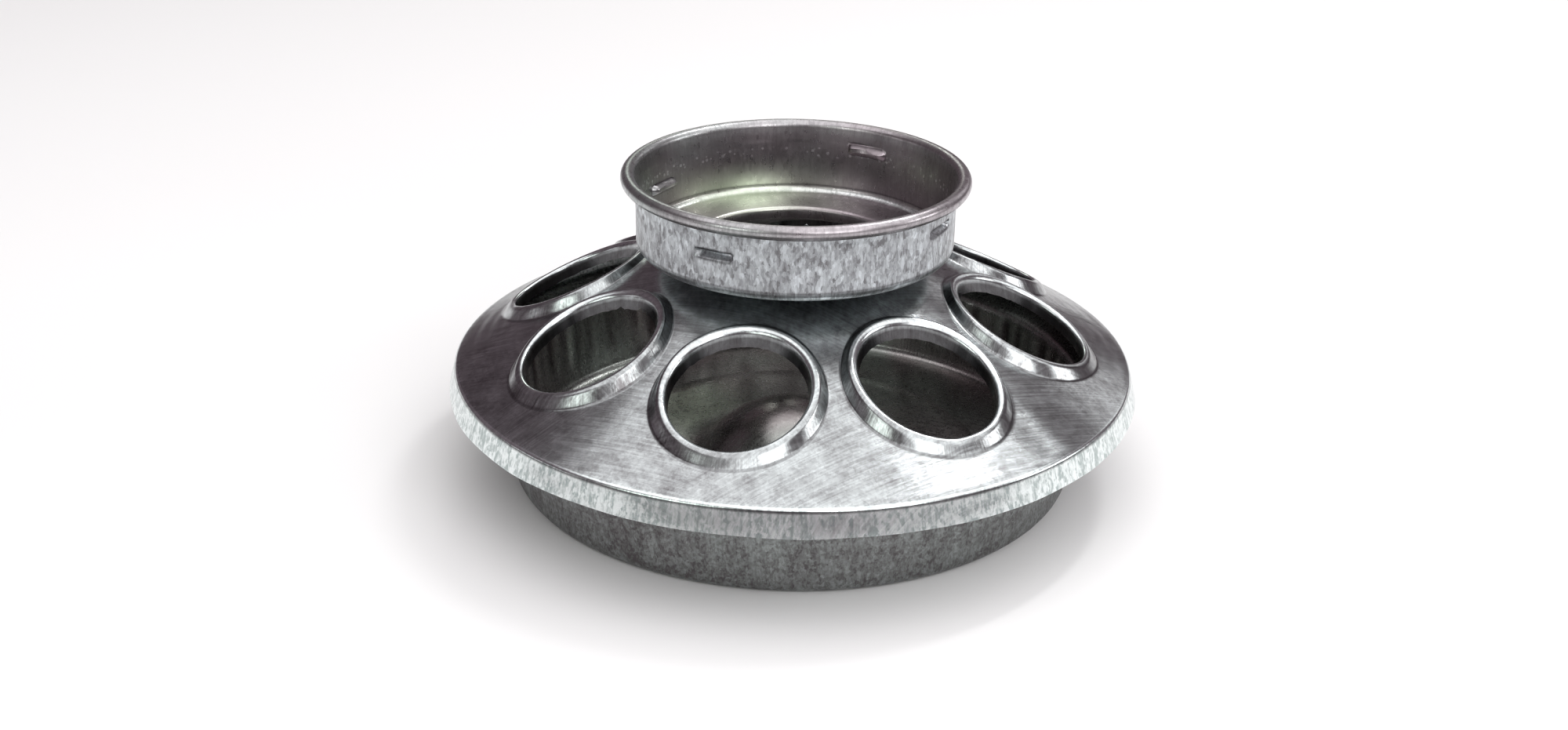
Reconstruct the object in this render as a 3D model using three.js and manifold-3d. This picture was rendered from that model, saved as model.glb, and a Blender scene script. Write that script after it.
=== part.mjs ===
// Feeder base for an inverted screw-top jar, in galvanised sheet steel.
// Three drawn pieces: a round pan, a conical cover with eight rimmed feed holes
// that snaps over the pan, and a jar collar with thread lugs, clinched to the cover.
// Millimetres, +Z up. The origin is the centre of the plane the pan stands on.

import * as THREE from 'three';
import { mergeVertices } from 'three/addons/utils/BufferGeometryUtils.js';
import Module from 'manifold-3d';

const wasm = await Module();
wasm.setup();

// ---- Driving dimensions -------------------------------------------------------

const SHEET = 0.55; // sheet thickness of all three pieces
const GAP = 0.3; // clearance kept where two pieces meet
const TURN_STEPS = 48; // facets round the object's axis
const QUARTER = Math.PI / 2;

const HOLE_COUNT = 8;
const LUG_COUNT = 4;
const THREAD_PITCH = 25.4 / 4; // four threads to the inch

const PAN = {
  domeRadius: 21.8, // raised middle that spreads the feed outwards
  domeTop: 13.75,
  plateau: 1.2, // the floor inside the step stands this much higher
  stepRadius: 44.2,
  stepWidth: 1.4,
  wallFoot: 65.5, // outer radius of the wall just above its corner
  wallHead: 66.8, // and where it turns out into the flange
  corner: 3.2,
  coveRadius: 2.4,
  flangeSlope: THREE.MathUtils.degToRad(20),
  beadRadius: 1.4, // outer radius of the rolled edge
  beadRing: 75.9, // radius of the ring that the rolled edge's middle lies on
  beadHeight: 25.35,
};

const COVER = {
  skirtRadius: 79.4, // outer radius of the skirt's lower edge
  skirtFoot: 21.3,
  creaseRadius: 77.7, // where the skirt turns into the cone
  creaseHeight: 27.0,
  slope: THREE.MathUtils.degToRad(25.4),
  openingRadius: 24.5, // where the cone ends, round the collar's neck
};

const RIM = {
  ring: 52.3, // distance of a hole's middle from the object's axis
  base: 18.5, // where the rim leaves the cone, across the slope
  crest: 16.4, // its highest circle
  height: 1.75, // of the crest above the cone, measured upright
  throat: 14.6, // the clear opening, at the lower end of the turned-in flange
  depth: 1.75, // how far the flange reaches below the cone's outer face
  stretch: 1.065, // a hole is this much longer down the slope than across it
  steps: 24,
};

const COLLAR = {
  floor: 53.4, // underside of the collar's floor
  neckRadius: 24.1, // outer radius of the neck that passes down through the cover
  neckBend: 0.4,
  clinchRadius: 26.2, // the neck's lower end, turned out under the cone
  wallRadius: 36.0, // outer radius of its wall
  corner: 2.3,
  flareStart: 66.4, // the wall opens slightly from here up to the rolled rim
  beadRadius: 1.6,
  beadRing: 37.7,
  beadHeight: 69.9,
};

const LUG = {
  length: 9.5,
  height: 2.0,
  reach: 1.5, // how far a lug stands in from the wall
  firstAngle: THREE.MathUtils.degToRad(163.7),
  firstHeight: 60.8,
};

// ---- Profiles and solids ------------------------------------------------------

/** A point of a profile: distance from the axis and height. */
const point = (radius, height) => new THREE.Vector2(radius, height);

/** Points along an arc, both ends included. */
function arc(centreRadius, centreHeight, radius, from, to, steps) {
  return Array.from({ length: steps + 1 }, (_, i) => {
    const angle = from + ((to - from) * i) / steps;
    return point(centreRadius + radius * Math.cos(angle), centreHeight + radius * Math.sin(angle));
  });
}

/** Closed outline of a sheet that follows a line and lies wholly to its left. */
function sheetOutline(line, thickness) {
  const normals = line.slice(1).map((end, i) => {
    const along = end.clone().sub(line[i]).normalize();
    return point(-along.y, along.x);
  });
  const farFace = line.map((corner, i) => {
    const before = normals[Math.max(i - 1, 0)];
    const after = normals[Math.min(i, normals.length - 1)];
    const mitre = before.clone().add(after).normalize();
    return corner.clone().addScaledVector(mitre, thickness / mitre.dot(after));
  });
  return [...line, ...farFace.reverse()];
}

/** Revolves an outline about Z. An outline that doesn't meet the axis is closed. */
function revolve(outline, steps = TURN_STEPS) {
  const onAxis = outline[0].x === 0 && outline.at(-1).x === 0;
  const closed = onAxis ? outline : [...outline, outline[0].clone()];
  return new THREE.LatheGeometry(closed, steps).rotateX(QUARTER);
}

/** Turns a closed geometry into a solid that can be joined and cut. */
function solidOf(geometry) {
  const bare = geometry.clone();
  bare.deleteAttribute('normal');
  bare.deleteAttribute('uv');
  const merged = mergeVertices(bare, 1e-5);
  const index = merged.index.array;
  const kept = [];
  for (let i = 0; i < index.length; i += 3) {
    const [a, b, c] = index.slice(i, i + 3);
    if (a !== b && b !== c && c !== a) kept.push(a, b, c);
  }
  const vertProperties = new Float32Array(merged.attributes.position.array);
  return new wasm.Manifold(
    new wasm.Mesh({ numProp: 3, vertProperties, triVerts: new Uint32Array(kept) }),
  );
}

/** Turns a solid back into a geometry. */
function geometryOf(solid) {
  const mesh = solid.getMesh();
  const geometry = new THREE.BufferGeometry();
  geometry.setAttribute('position', new THREE.BufferAttribute(mesh.vertProperties, 3));
  geometry.setIndex(new THREE.BufferAttribute(mesh.triVerts, 1));
  geometry.computeVertexNormals();
  return geometry;
}

/** Names a solid and gives it its finish. */
function piece(name, solid, colour, roughness) {
  const material = new THREE.MeshStandardMaterial({ color: colour, roughness, metalness: 1 });
  const mesh = new THREE.Mesh(geometryOf(solid), material);
  mesh.name = name;
  return mesh;
}

// ---- Base pan -----------------------------------------------------------------

/** The pan: domed middle, flat ring that it stands on, wall, flange, rolled edge. */
function basePan() {
  const { domeRadius, domeTop, plateau, stepRadius, stepWidth, wallFoot, corner } = PAN;
  const domeHeight = domeTop - SHEET - plateau;
  const dome = [0, 0.35, 0.7, 0.95].map((share) =>
    point(share * domeRadius, plateau + domeHeight * (1 - share * share)));
  const wallTurn = Math.atan2(PAN.wallHead - wallFoot, PAN.beadHeight - corner);
  const bead = arc(PAN.beadRing, PAN.beadHeight, PAN.beadRadius,
    PAN.flangeSlope - QUARTER, Math.PI * 1.1, 6);
  const coveReach = PAN.coveRadius * Math.sin(PAN.flangeSlope);
  const flangeStart = PAN.wallHead + PAN.coveRadius - coveReach;
  const flangeHeight = bead[0].y - (bead[0].x - flangeStart) * Math.tan(PAN.flangeSlope);
  const cove = arc(PAN.wallHead + PAN.coveRadius,
    flangeHeight - PAN.coveRadius * Math.cos(PAN.flangeSlope),
    PAN.coveRadius, Math.PI - wallTurn, QUARTER + PAN.flangeSlope, 1);
  const underside = [
    ...dome,
    point(domeRadius + 1.5, plateau),
    point(stepRadius, plateau),
    point(stepRadius + stepWidth, 0),
    ...arc(wallFoot - corner, corner, corner, -QUARTER, -wallTurn, 2),
    ...cove,
    ...bead,
  ];
  return solidOf(revolve(sheetOutline(underside, SHEET)));
}

// ---- Feeder cover -------------------------------------------------------------

/** Height of the cone's outer face at a distance from the axis. */
const coneHeight = (radius) =>
  COVER.creaseHeight + (COVER.creaseRadius - radius) * Math.tan(COVER.slope);

/** Height of the cone's underside. */
const coneUnderside = (radius) => coneHeight(radius) - SHEET / Math.cos(COVER.slope);

/** Outer face of the cover, from the skirt's lower edge to the opening at its top. */
function coverLine() {
  const { skirtRadius, skirtFoot, creaseRadius, creaseHeight, openingRadius } = COVER;
  const round = 0.55;
  return [
    point(skirtRadius, skirtFoot),
    point(creaseRadius + 0.3 * round, creaseHeight - round),
    point(creaseRadius - round, coneHeight(creaseRadius - round)),
    point(openingRadius, coneHeight(openingRadius)),
  ];
}

/**
 * Places a geometry built about Z at the hole nearest +X. Its radii lie in the plane
 * of the cone, and its heights stay upright, as the punch leaves them.
 */
function atHole(geometry) {
  const downhill = new THREE.Vector3(Math.cos(COVER.slope), 0, -Math.sin(COVER.slope))
    .multiplyScalar(RIM.stretch);
  const across = new THREE.Vector3(0, 1, 0);
  const upright = new THREE.Vector3(0, 0, 1);
  const frame = new THREE.Matrix4().makeBasis(downhill, across, upright)
    .setPosition(RIM.ring, 0, coneHeight(RIM.ring));
  return geometry.applyMatrix4(frame);
}

/** Section of a hole's rim: flank up to the crest, then the turned-in flange. */
function rimOutline() {
  const { base, crest, height, throat, depth } = RIM;
  const wallBottom = -3.2;
  return [
    point(base, wallBottom),
    point(base, 0.1),
    point(crest + 0.5, height - 0.15),
    point(crest - 0.5, height - 0.15),
    point(crest - 1.0, height - 1.2),
    point(throat, -depth),
    point(throat + SHEET, -depth - 0.1),
    point(crest - 0.4, height - 1.2),
    point(crest + 0.2, height - SHEET - 0.15),
    point(base - SHEET, -0.2),
    point(base - SHEET, wallBottom),
  ];
}

/** The rim, its outer wall trimmed flush with the underside of the cone. */
function rimSolid() {
  const rim = solidOf(atHole(revolve(rimOutline(), RIM.steps)));
  const reach = COVER.creaseRadius - 2;
  const belowCone = solidOf(revolve([
    point(0, 0),
    point(reach, 0),
    point(reach, coneUnderside(reach)),
    point(0, coneUnderside(0)),
  ]));
  const outerWall = solidOf(atHole(revolve([
    point(RIM.crest + 0.4, -6),
    point(RIM.base + 1, -6),
    point(RIM.base + 1, 0),
    point(RIM.crest + 0.4, 0),
  ], RIM.steps)));
  return rim.subtract(outerWall.intersect(belowCone));
}

/** The cover: skirt, cone and neck in one sheet, pierced by the rimmed holes. */
function feederCover() {
  let cover = solidOf(revolve(sheetOutline(coverLine(), SHEET)));
  const punch = atHole(new THREE.CylinderGeometry(
    RIM.base - SHEET / 2, RIM.base - SHEET / 2, 12, RIM.steps).rotateX(QUARTER));
  const rim = geometryOf(rimSolid());
  const turns = Array.from({ length: HOLE_COUNT }, (_, i) => (i * 2 * Math.PI) / HOLE_COUNT);
  turns.forEach((turn) => {
    cover = cover.subtract(solidOf(punch.clone().rotateZ(turn)));
  });
  turns.forEach((turn) => {
    cover = cover.add(solidOf(rim.clone().rotateZ(turn)));
  });
  return cover;
}

// ---- Jar collar ---------------------------------------------------------------

/** Outer face of the collar: clinch, neck, floor, wall, then over the rolled rim. */
function collarLine() {
  const { floor, neckRadius, neckBend, clinchRadius, wallRadius, corner } = COLLAR;
  const { flareStart, beadRing, beadRadius, beadHeight } = COLLAR;
  return [
    point(clinchRadius, coneUnderside(clinchRadius) - GAP),
    point(neckRadius, coneUnderside(neckRadius) - GAP),
    ...arc(neckRadius + neckBend, floor - neckBend, neckBend, Math.PI, QUARTER, 2),
    ...arc(wallRadius - corner, floor + corner, corner, -QUARTER, 0, 2),
    point(wallRadius, flareStart),
    ...arc(beadRing, beadHeight, beadRadius - SHEET, Math.PI, -QUARTER * 1.15, 5),
  ];
}

/** An ellipsoid lying along the wall at one lug's place on the thread. */
function lugBlank(turn, radius, length, height, reach) {
  const climb = Math.atan(THREAD_PITCH / (2 * Math.PI * COLLAR.wallRadius));
  return new THREE.SphereGeometry(1, 10, 6)
    .scale(reach, length / 2, height / 2)
    .rotateX(climb)
    .translate(radius, 0, 0)
    .rotateZ(LUG.firstAngle + turn * 2 * Math.PI)
    .translate(0, 0, LUG.firstHeight + turn * THREAD_PITCH);
}

/** The collar: a cup with an open floor and four pressed lugs along one thread. */
function jarCollar() {
  const { floor, wallRadius, beadHeight } = COLLAR;
  let collar = solidOf(revolve(sheetOutline(collarLine(), SHEET)));
  const insideWall = solidOf(revolve([
    point(0, floor),
    point(wallRadius, floor),
    point(wallRadius, beadHeight),
    point(0, beadHeight),
  ]));
  for (let i = 0; i < LUG_COUNT; i += 1) {
    const turn = i / LUG_COUNT;
    const lug = solidOf(lugBlank(turn, wallRadius - SHEET, LUG.length, LUG.height, LUG.reach));
    const dent = solidOf(lugBlank(turn, wallRadius + 0.05,
      LUG.length - 2 * SHEET, LUG.height - SHEET, LUG.reach - 0.1));
    collar = collar.add(lug.intersect(insideWall)).subtract(dent);
  }
  return collar;
}

// ---- The assembly -------------------------------------------------------------

const group = new THREE.Group();
group.add(piece('base_pan', basePan(), 0x4d4a4d, 0.5));
group.add(piece('feeder_cover', feederCover(), 0x8d8c8f, 0.32));
group.add(piece('jar_collar', jarCollar(), 0xa9adad, 0.4));

export default group;
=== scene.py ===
"""Studio scene of a round jar feeder base in galvanised sheet steel.

Three drawn sheets make the object: a pan, a conical cover with eight rimmed feed
holes, and a jar collar with pressed thread lugs. Each is rebuilt here as a fine
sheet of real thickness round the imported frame, and dressed in worn zinc.
"""

import logging
import math
from dataclasses import dataclass
from enum import Enum

import bpy
import numpy as np
from mathutils import Matrix, Vector


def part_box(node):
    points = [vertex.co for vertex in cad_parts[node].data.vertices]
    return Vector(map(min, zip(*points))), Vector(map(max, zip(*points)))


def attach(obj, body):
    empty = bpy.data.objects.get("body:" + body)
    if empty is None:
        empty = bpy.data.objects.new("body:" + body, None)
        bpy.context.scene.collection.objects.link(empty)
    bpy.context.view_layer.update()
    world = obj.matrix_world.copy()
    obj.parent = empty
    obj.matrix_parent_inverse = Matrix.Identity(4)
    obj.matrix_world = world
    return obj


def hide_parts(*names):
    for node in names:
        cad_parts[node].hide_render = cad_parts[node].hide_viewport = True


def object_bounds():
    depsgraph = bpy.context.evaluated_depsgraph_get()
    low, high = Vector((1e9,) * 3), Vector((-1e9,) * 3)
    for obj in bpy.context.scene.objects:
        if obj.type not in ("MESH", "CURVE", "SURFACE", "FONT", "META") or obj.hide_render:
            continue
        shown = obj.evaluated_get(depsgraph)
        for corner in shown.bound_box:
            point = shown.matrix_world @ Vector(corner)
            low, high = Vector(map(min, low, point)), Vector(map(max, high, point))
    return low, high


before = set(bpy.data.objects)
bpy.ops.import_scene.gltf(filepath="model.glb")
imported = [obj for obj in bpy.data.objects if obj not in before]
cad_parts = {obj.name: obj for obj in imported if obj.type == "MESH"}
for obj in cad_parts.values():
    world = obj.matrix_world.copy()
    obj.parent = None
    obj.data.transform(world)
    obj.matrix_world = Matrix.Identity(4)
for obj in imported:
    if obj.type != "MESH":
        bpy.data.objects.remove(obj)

LOG = logging.getLogger("feeder_base")
CAD_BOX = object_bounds()

# Lengths are in millimetres unless a docstring says metres, and angles in radians unless it
# says degrees. A band is four distances from the axis: where a mark starts, where it is
# full, where it fades and where it ends.
MM = 0.001  # one millimetre in metres
SHEET = 0.55  # thickness of every visible sheet
WELD = 0.001  # points that agree to this are one point
THREAD_PITCH = 25.4 / 4  # four threads to the inch
HOLE_COUNT = 8
LUG_COUNT = 4
QUARTER = math.pi / 2
SHARP_ANGLE = math.radians(40.0)  # edges sharper than this are shaded sharp

# Colours of the zinc finishes.
BROWN = (1.0, 0.84, 0.86)  # one tint of the stain
GREEN = (1.0, 0.99, 0.95)  # and the other
SHEEN_DARK = (0.46, 0.53, 0.52)  # painted sheen: lighter metal that stands in for reflected light, its dull flakes
SHEEN_LIGHT = (0.94, 1.0, 0.99)  # and its light ones
SHADE = (0.045, 0.038, 0.042)  # painted shade along edges, in creases and in recesses
PAINTED_LIGHT = (0.66, 0.74, 0.60)  # painted light: greenish patches of light on the inner faces

# Weights of the patterns that every zinc finish is mixed from.
FINE_SCALE = 2.3  # small crystals for each large one
FINE_STRETCH = 0.7
CLOUD = 0.4  # strength of the broad clouds
RING = 0.3  # strength of the turning rings, as a share of the scratches
CRYSTAL_ROUGH = 0.18  # how much rougher a dull crystal is
MARK_ROUGH = 0.12  # how much rougher a scratch is
CRYSTAL_HEIGHT = 0.25  # share of the crystals in the bump
BUMP_STRENGTH = 0.35
BUMP_DISTANCE = 0.00008  # in metres

Colour = tuple[float, float, float]
Socket = bpy.types.NodeSocket
Value = float | Socket
Tint = tuple[float, ...] | Socket
Groups = dict[str, bpy.types.NodeTree]


class Body(Enum):
    """The rigid bodies that pieces ride on."""

    PAN = "pan"
    COVER = "cover"


# ---- Profiles ------------------------------------------------------------------


def arc(centre: tuple[float, float], radius: float, start: float, end: float,
        steps: int) -> np.ndarray:
    """Points on a circular arc in the (radius, height) plane.

    Args:
        centre: Middle of the arc, in millimetres.
        radius: Radius of the arc.
        start: First angle in radians, anticlockwise from the outward direction.
        end: Last angle in radians.
        steps: Number of chords.

    Returns:
        Array of (steps + 1, 2): centre plus radius times (cosine, sine).
    """
    angle = np.linspace(start, end, steps + 1)
    return np.column_stack((centre[0] + radius * np.cos(angle),
                            centre[1] + radius * np.sin(angle)))


def straight(start: tuple[float, float], end: tuple[float, float], steps: int) -> np.ndarray:
    """Evenly spaced points on a line from start towards end, without the end itself.

    Args:
        start: First point, as radius and height.
        end: The point that the line runs towards.
        steps: Number of points.

    Returns:
        Array of (steps, 2): start times (1 - share) plus end times share.
    """
    share = np.linspace(0.0, 1.0, steps, endpoint=False)[:, None]
    return np.asarray(start) * (1.0 - share) + np.asarray(end) * share


def smooth_step(low: float, high: float, value: np.ndarray) -> np.ndarray:
    """Rises from 0 at low to 1 at high as 3t² - 2t³, and is flat outside.

    Args:
        low: Where the rise starts.
        high: Where it ends.
        value: Array of any shape.

    Returns:
        Array of the same shape, in 0..1.
    """
    share = np.clip((value - low) / (high - low), 0.0, 1.0)
    return share * share * (3.0 - 2.0 * share)


def near_angle(angle: np.ndarray, middle: float, reach: float) -> np.ndarray:
    """A bell round an angle: exp(-(d / reach)²), where d is the shorter way to middle.

    Args:
        angle: Angles in radians.
        middle: Angle at which the bell is 1.
        reach: Distance at which it has fallen to 1 / e.

    Returns:
        Array of the same shape as angle.
    """
    away = (angle - middle + math.pi) % (2.0 * math.pi) - math.pi
    return np.exp(-(away / reach) ** 2)


@dataclass(frozen=True)
class Ripple:
    """A smooth random wave round a circle, made of a few harmonics.

    Attributes:
        lowest: Lowest number of waves in one turn.
        highest: Highest number of waves in one turn.
        seed: Seed of the random phases and shares.
    """

    lowest: int
    highest: int
    seed: int

    def at(self, angle: np.ndarray) -> np.ndarray:
        """Sum of cosines of whole multiples of the angle, scaled to about ±1.

        Args:
            angle: Angles round the axis, in radians.

        Returns:
            Array of the same shape as angle.
        """
        random = np.random.default_rng(self.seed)
        orders = np.arange(self.lowest, self.highest + 1)
        phases = random.uniform(0.0, 2.0 * math.pi, orders.size)
        shares = random.uniform(0.3, 1.0, orders.size)
        shares /= np.sqrt(np.sum(shares ** 2))
        waves = np.cos(angle[..., None] * orders + phases)
        return waves @ shares


# ---- Sheets --------------------------------------------------------------------


@dataclass
class OpenSheet:
    """One face of a sheet: a grid of quads that points away from the metal.

    Attributes:
        points: Array of (n, 3), in millimetres.
        quads: Array of (m, 4) point numbers.
        masks: Named values in 0..1 on the points, for the finish to read.
    """

    points: np.ndarray
    quads: np.ndarray
    masks: dict[str, np.ndarray]

    def joined(self, other: "OpenSheet") -> "OpenSheet":
        """This sheet and another as one set of points and quads.

        Args:
            other: A sheet that has at least this sheet's masks.

        Returns:
            The joined sheet, with this sheet's masks.
        """
        shift = len(self.points)
        return OpenSheet(
            np.vstack((self.points, other.points)),
            np.vstack((self.quads, other.quads + shift)),
            {name: np.concatenate((values, other.masks[name]))
             for name, values in self.masks.items()},
        )


def grid_quads(rows: int, columns: int, closed: bool, flipped: bool = False) -> np.ndarray:
    """Quads of a grid whose point (row, column) has number row * columns + column.

    Args:
        rows: Number of rows of points.
        columns: Number of columns of points.
        closed: Whether the last column joins the first.
        flipped: Whether the quads face the other way.

    Returns:
        Array of (quads, 4).
    """
    row, column = np.meshgrid(np.arange(rows - 1),
                              np.arange(columns if closed else columns - 1), indexing="ij")
    beside = (column + 1) % columns
    quads = np.stack((row * columns + column, (row + 1) * columns + column,
                      (row + 1) * columns + beside, row * columns + beside), axis=-1)
    quads = quads.reshape(-1, 4)
    return quads[:, ::-1] if flipped else quads


def merged(sheet: OpenSheet) -> OpenSheet:
    """Joins points that agree to a thousandth of a millimetre.

    Args:
        sheet: The sheet, whose seams are doubled points.

    Returns:
        The sheet without doubles; a quad at a pole then names one point twice.
    """
    rounded = np.rint(sheet.points / WELD).astype(np.int64)
    _, first, number = np.unique(rounded, axis=0, return_index=True, return_inverse=True)
    masks = {name: values[first] for name, values in sheet.masks.items()}
    return OpenSheet(sheet.points[first], number.reshape(-1)[sheet.quads], masks)


def point_normals(points: np.ndarray, quads: np.ndarray) -> np.ndarray:
    """Unit normals at points: the mean of the unit normals of the quads they touch.

    Args:
        points: Array of (n, 3).
        quads: Array of (m, 4) point numbers.

    Returns:
        Array of (n, 3); a quad's normal is the cross product of its diagonals.
    """
    corner = points[quads]
    facing = np.cross(corner[:, 2] - corner[:, 0], corner[:, 3] - corner[:, 1])
    facing /= np.linalg.norm(facing, axis=1, keepdims=True)
    total = np.zeros_like(points)
    np.add.at(total, quads.reshape(-1), np.repeat(facing, 4, axis=0))
    return total / np.linalg.norm(total, axis=1, keepdims=True)


def free_sides(quads: np.ndarray, count: int) -> np.ndarray:
    """Sides (from, to) of quads that no other quad runs along the other way.

    Args:
        quads: Array of (m, 4) point numbers.
        count: Number of points.

    Returns:
        Array of (sides, 2).
    """
    start, end = quads.reshape(-1), np.roll(quads, -1, axis=1).reshape(-1)
    real = start != end
    start, end = start[real], end[real]
    alone = ~np.isin(start * count + end, end * count + start)
    return np.column_stack((start[alone], end[alone]))


def face_lists(quads: np.ndarray) -> list[list[int]]:
    """Quads as lists of points, those that name one point twice as triangles.

    Args:
        quads: Array of (m, 4) point numbers.

    Returns:
        Lists of four or three point numbers.
    """
    doubled = quads == np.roll(quads, 1, axis=1)
    pole = doubled.any(axis=1)
    triangles = quads[pole][~doubled[pole]].reshape(-1, 3)
    return quads[~pole].tolist() + triangles.tolist()


def solid_from_sheet(name: str, sheet: OpenSheet) -> bpy.types.Object:
    """Gives a sheet its thickness and makes it a closed mesh object.

    Doubled points are merged, each point gets a partner one sheet thickness behind
    it against its normal, and every free edge is closed by a strip of quads.

    Args:
        name: Name of the object.
        sheet: The outer face.

    Returns:
        The object, at the origin, in metres.
    """
    sheet = merged(sheet)
    count = len(sheet.points)
    inner = sheet.points - SHEET * point_normals(sheet.points, sheet.quads)
    free = free_sides(sheet.quads, count)
    strip = np.column_stack((free[:, 1], free[:, 0], free[:, 0] + count, free[:, 1] + count))
    faces = face_lists(sheet.quads) + face_lists(sheet.quads[:, ::-1] + count) + strip.tolist()

    mesh = bpy.data.meshes.new(name)
    mesh.from_pydata((np.vstack((sheet.points, inner)) * MM).tolist(), [], faces)
    masks = {mask: np.concatenate((values, values)) for mask, values in sheet.masks.items()}
    masks["inside"] = np.repeat([0.0, 1.0], count)
    for mask, values in masks.items():
        layer = mesh.attributes.new(mask, "FLOAT", "POINT")
        layer.data.foreach_set("value", values.astype(np.float32))
    mesh.polygons.foreach_set("use_smooth", [True] * len(mesh.polygons))
    mesh.set_sharp_from_angle(angle=SHARP_ANGLE)
    mesh.update()
    piece = bpy.data.objects.new(name, mesh)
    bpy.context.scene.collection.objects.link(piece)
    return piece


def turned(line: np.ndarray, angle: np.ndarray) -> tuple[np.ndarray, np.ndarray]:
    """Grids of radius and height for a profile turned about the axis.

    Args:
        line: Profile, an array of (rows, 2).
        angle: Angles of the columns.

    Returns:
        Radius and height, each an array of (rows, columns).
    """
    ones = np.ones_like(angle)[None, :]
    return line[:, :1] * ones, line[:, 1:] * ones


def cylindrical(radius: np.ndarray, angle: np.ndarray, height: np.ndarray) -> np.ndarray:
    """Points (radius cos angle, radius sin angle, height).

    Args:
        radius: Distances from the axis.
        angle: Angles round it, of the same shape.
        height: Heights, of the same shape.

    Returns:
        Array of (n, 3).
    """
    return np.stack((radius * np.cos(angle), radius * np.sin(angle), height),
                    axis=-1).reshape(-1, 3)


def even_turn(columns: int) -> np.ndarray:
    """Angles of evenly spaced columns round one turn.

    Args:
        columns: Number of columns.

    Returns:
        Array of (columns,), from 0.
    """
    return np.linspace(0.0, 2.0 * math.pi, columns, endpoint=False)


# ---- Shader helpers ------------------------------------------------------------


class Graph:
    """Adds nodes to a node tree and wires them in one call each."""

    def __init__(self, tree: bpy.types.NodeTree) -> None:
        """Starts on an empty tree."""
        self.tree = tree

    def node(self, kind: str, inputs: dict[str | int, Value | Tint] | None = None,
             **settings: object) -> bpy.types.Node:
        """Adds a node.

        Args:
            kind: Blender's node type.
            inputs: Socket name or number to a value or an output socket.
            **settings: Attributes set on the node before its inputs.

        Returns:
            The new node.
        """
        node = self.tree.nodes.new(kind)
        for key, value in settings.items():
            setattr(node, key, value)
        for key, value in (inputs or {}).items():
            if isinstance(value, bpy.types.NodeSocket):
                self.tree.links.new(value, node.inputs[key])
            else:
                node.inputs[key].default_value = value
        return node

    def math(self, operation: str, *values: Value) -> Socket:
        """A Math node's result.

        Args:
            operation: Blender's name of the operation.
            *values: Its inputs in order.

        Returns:
            The result.
        """
        node = self.node("ShaderNodeMath", dict(enumerate(values)), operation=operation)
        return node.outputs[0]

    def vector(self, operation: str, *values: Tint) -> Socket:
        """A Vector Math node's vector result.

        Args:
            operation: Blender's name of the operation.
            *values: Its vector inputs in order.

        Returns:
            The resulting vector.
        """
        node = self.node("ShaderNodeVectorMath", dict(enumerate(values)), operation=operation)
        return node.outputs[0]

    def scaled(self, vector: Socket, scale: Value) -> Socket:
        """A vector times a number.

        Args:
            vector: The vector.
            scale: The number.

        Returns:
            The scaled vector.
        """
        node = self.node("ShaderNodeVectorMath", {0: vector, "Scale": scale}, operation="SCALE")
        return node.outputs[0]

    def attribute(self, name: str) -> Socket:
        """A mask of the mesh, which is 0 on a mesh that doesn't have it."""
        return self.node("ShaderNodeAttribute", attribute_name=name).outputs["Fac"]

    def place(self) -> Socket:
        """Object coordinates."""
        return self.node("ShaderNodeTexCoord").outputs["Object"]

    def ramp(self, value: Socket, low: float, high: float,
             bottom: float = 0.0, top: float = 1.0) -> Socket:
        """A value mapped smoothly from low..high to bottom..top, and held outside.

        Args:
            value: The value.
            low: Where the result is bottom.
            high: Where it is top.
            bottom: Result at low.
            top: Result at high.

        Returns:
            The mapped value.
        """
        node = self.node("ShaderNodeMapRange", {
            "Value": value, "From Min": low, "From Max": high,
            "To Min": bottom, "To Max": top}, interpolation_type="SMOOTHSTEP")
        return node.outputs["Result"]

    def noise(self, vector: Socket, scale: float, detail: Value = 2.0,
              roughness: float = 0.5) -> Socket:
        """Fractal noise of about 0..1 with its middle at 0.5.

        Args:
            vector: Where the noise is read.
            scale: Waves in one unit of the vector.
            detail: Number of finer layers.
            roughness: Strength of each finer layer against the one before.

        Returns:
            The noise.
        """
        node = self.node("ShaderNodeTexNoise", {
            "Vector": vector, "Scale": scale, "Detail": detail, "Roughness": roughness})
        return node.outputs["Fac"]

    def mix(self, factor: Value, first: Tint, second: Tint, blend: str = "MIX") -> Socket:
        """A colour mix of first and second.

        Args:
            factor: Share of the second.
            first: First colour.
            second: Second colour.
            blend: Blender's name of the way they are mixed.

        Returns:
            The mixed colour.
        """
        node = self.node("ShaderNodeMix", {0: factor, 6: first, 7: second},
                         data_type="RGBA", blend_type=blend)
        return node.outputs[2]


def new_group(name: str, inputs: dict[str, float], outputs: list[str]) -> tuple[
        bpy.types.NodeTree, Graph, bpy.types.Node, bpy.types.Node]:
    """Starts a shader node group with float inputs and float outputs.

    Args:
        name: Name of the group.
        inputs: Input names and their default values.
        outputs: Output names.

    Returns:
        The group, its graph, its input node and its output node.
    """
    group = bpy.data.node_groups.new(name, "ShaderNodeTree")
    for socket, default in inputs.items():
        made = group.interface.new_socket(socket, in_out="INPUT", socket_type="NodeSocketFloat")
        made.default_value = default
    for socket in outputs:
        group.interface.new_socket(socket, in_out="OUTPUT", socket_type="NodeSocketFloat")
    graph = Graph(group)
    return group, graph, graph.node("NodeGroupInput"), graph.node("NodeGroupOutput")


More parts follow.
